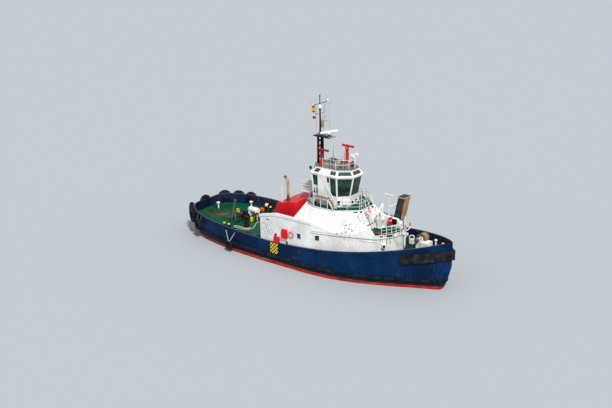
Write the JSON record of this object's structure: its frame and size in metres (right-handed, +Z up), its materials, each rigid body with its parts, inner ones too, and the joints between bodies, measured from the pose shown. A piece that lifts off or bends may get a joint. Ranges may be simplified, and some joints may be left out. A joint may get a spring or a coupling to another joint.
{
  "type": "harbour tugboat",
  "caption": "Harbour tugboat with raised wheelhouse, mast, fire monitors, tyre fenders, towing gear and steerable stern thrusters.",
  "frame": {"origin": "on the centreline, amidships, at the waterline (mount waterline)", "axes": "+X to the bow, +Y to port, +Z up"},
  "size_m": [33.0049, 10.6288, 21.64],
  "materials": {
    "hull_paint": "weathered",
    "black_rubber": "worn",
    "tyre_rubber": "worn",
    "white_paint": "rust streaked",
    "deck_paint": "matt",
    "red_paint": "gloss",
    "pipe_paint": "sooty",
    "window_glass": "clear",
    "console_plastic": "matt",
    "seat_cover": "worn",
    "mast_paint": "matt",
    "flag_cloth": "thin",
    "funnel_paint": "weathered",
    "rope": "coarse",
    "white_rope": "laid rope",
    "orange_rope": "laid rope",
    "red_rope": "laid rope",
    "grey_steel": "worn",
    "hook_paint": "worn",
    "black_steel": "worn",
    "raft_shell": "gloss",
    "pod_paint": "matt",
    "bronze": "satin"
  },
  "bodies": {
    "vessel": {"hull": "hull_paint", "rubbing_strake": "black_rubber", "bow_fender": "black_rubber", "stern_tyres": "tyre_rubber", "side_tyre_starboard": "tyre_rubber", "side_tyre_port": "tyre_rubber", "deckhouse": "white_paint", "tower": "white_paint", "wheelhouse_walls": "white_paint", "wheelhouse_roof": "white_paint", "bridge_rail_port": "white_paint", "bridge_rail_starboard": "white_paint", "aft_platform": "white_paint", "bridge_ladder": "white_paint", "roof_rail": "white_paint", "signal_mast": "white_paint", "davit_post": "white_paint", "boat_deck_rail": "white_paint", "winch_frame": "white_paint", "whip_antenna": "white_paint", "boat_deck": "deck_paint", "bridge_deck": "deck_paint", "exhaust_casing": "red_paint", "hose_cabinet": "red_paint", "monitor_riser_fore": "red_paint", "monitor_riser_aft": "red_paint", "exhaust_pipe_starboard": "pipe_paint", "exhaust_pipe_port": "pipe_paint", "wheelhouse_glass": "window_glass", "helm_station": "console_plastic", "mast": "mast_paint", "flag_upper": "flag_cloth", "flag_lower": "flag_cloth", "funnel": "funnel_paint", "mooring_rope": "white_rope", "tag_line": "orange_rope", "stern_line": "red_rope", "towing_frame": "grey_steel", "liferaft": "raft_shell"},
    "deckhouse_door": {"deckhouse_door": "white_paint"},
    "wheelhouse_door": {"wheelhouse_door": "white_paint"},
    "helm_chair": {"helm_chair": "seat_cover"},
    "radar_scanner": {"radar_scanner": "white_paint"},
    "monitor_fork_fore": {"monitor_fork_fore": "red_paint"},
    "monitor_fork_aft": {"monitor_fork_aft": "red_paint"},
    "monitor_barrel_fore": {"monitor_barrel_fore": "red_paint"},
    "monitor_barrel_aft": {"monitor_barrel_aft": "red_paint"},
    "searchlights": {"searchlights": "white_paint"},
    "davit_jib": {"davit_jib": "white_paint"},
    "winch_drum": {"winch_drum": "rope"},
    "towing_hook": {"towing_hook": "hook_paint"},
    "capstan": {"capstan": "black_steel"},
    "thruster_port": {"thruster_port": "pod_paint"},
    "thruster_starboard": {"thruster_starboard": "pod_paint"},
    "propeller_port": {"propeller_port": "bronze"},
    "propeller_starboard": {"propeller_starboard": "bronze"}
  },
  "joints": [
    {"name": "deckhouse_door_hinge", "type": "hinge", "parent": "vessel", "child": "deckhouse_door", "pos_m": [-4.25, -1.712, 2.55], "axis": [0, 0, 1], "range_deg": [0, 110]},
    {"name": "wheelhouse_door_hinge", "type": "hinge", "parent": "vessel", "child": "wheelhouse_door", "pos_m": [-0.4, 0.402, 8.1], "axis": [0, 0, 1], "range_deg": [-105, 0]},
    {"name": "chair_swivel", "type": "hinge", "parent": "vessel", "child": "helm_chair", "pos_m": [1.9, 0, 7.6], "axis": [0, 0, 1], "range_deg": [-170, 170]},
    {"name": "radar_spin", "type": "hinge", "parent": "vessel", "child": "radar_scanner", "pos_m": [1.2, 0, 13.3], "axis": [0, 0, 1], "continuous": true},
    {"name": "fore_monitor_pan", "type": "hinge", "parent": "vessel", "child": "monitor_fork_fore", "pos_m": [3.18, 0.35, 11.83], "axis": [0, 0, 1], "range_deg": [-170, 170]},
    {"name": "fore_monitor_tilt", "type": "hinge", "parent": "monitor_fork_fore", "child": "monitor_barrel_fore", "pos_m": [3.18, 0.35, 12.27], "axis": [0, -1, 0], "range_deg": [-15, 45]},
    {"name": "aft_monitor_pan", "type": "hinge", "parent": "vessel", "child": "monitor_fork_aft", "pos_m": [1.05, -1, 11.38], "axis": [0, 0, 1], "range_deg": [-170, 170]},
    {"name": "aft_monitor_tilt", "type": "hinge", "parent": "monitor_fork_aft", "child": "monitor_barrel_aft", "pos_m": [1.05, -1, 11.82], "axis": [0, -1, 0], "range_deg": [-15, 45]},
    {"name": "searchlight_tilt", "type": "hinge", "parent": "vessel", "child": "searchlights", "pos_m": [4.04, 0.4, 11.42], "axis": [0, -1, 0], "range_deg": [-30, 45]},
    {"name": "davit_slew", "type": "hinge", "parent": "vessel", "child": "davit_jib", "pos_m": [7.15, 0.9, 6.6], "axis": [0, 0, 1], "range_deg": [-25, 55]},
    {"name": "winch_drum_spin", "type": "hinge", "parent": "vessel", "child": "winch_drum", "pos_m": [12.1, 0.75, 4.4], "axis": [0, 1, 0], "continuous": true},
    {"name": "towing_hook_swing", "type": "hinge", "parent": "vessel", "child": "towing_hook", "pos_m": [-11.35, 0.35, 2.24], "axis": [0, 0, 1], "range_deg": [-70, 70]},
    {"name": "capstan_spin", "type": "hinge", "parent": "vessel", "child": "capstan", "pos_m": [-9.11, -1.39, 2.3], "axis": [0, 0, 1], "continuous": true},
    {"name": "thruster_port_steer", "type": "hinge", "parent": "vessel", "child": "thruster_port", "pos_m": [-11.5, 1.95, -2.5], "axis": [0, 0, 1], "continuous": true},
    {"name": "thruster_starboard_steer", "type": "hinge", "parent": "vessel", "child": "thruster_starboard", "pos_m": [-11.5, -1.95, -2.5], "axis": [0, 0, 1], "continuous": true},
    {"name": "propeller_port_spin", "type": "hinge", "parent": "thruster_port", "child": "propeller_port", "pos_m": [-12.45, 1.95, -3.35], "axis": [1, 0, 0], "continuous": true},
    {"name": "propeller_starboard_spin", "type": "hinge", "parent": "thruster_starboard", "child": "propeller_starboard", "pos_m": [-12.45, -1.95, -3.35], "axis": [1, 0, 0], "continuous": true}
  ]
}
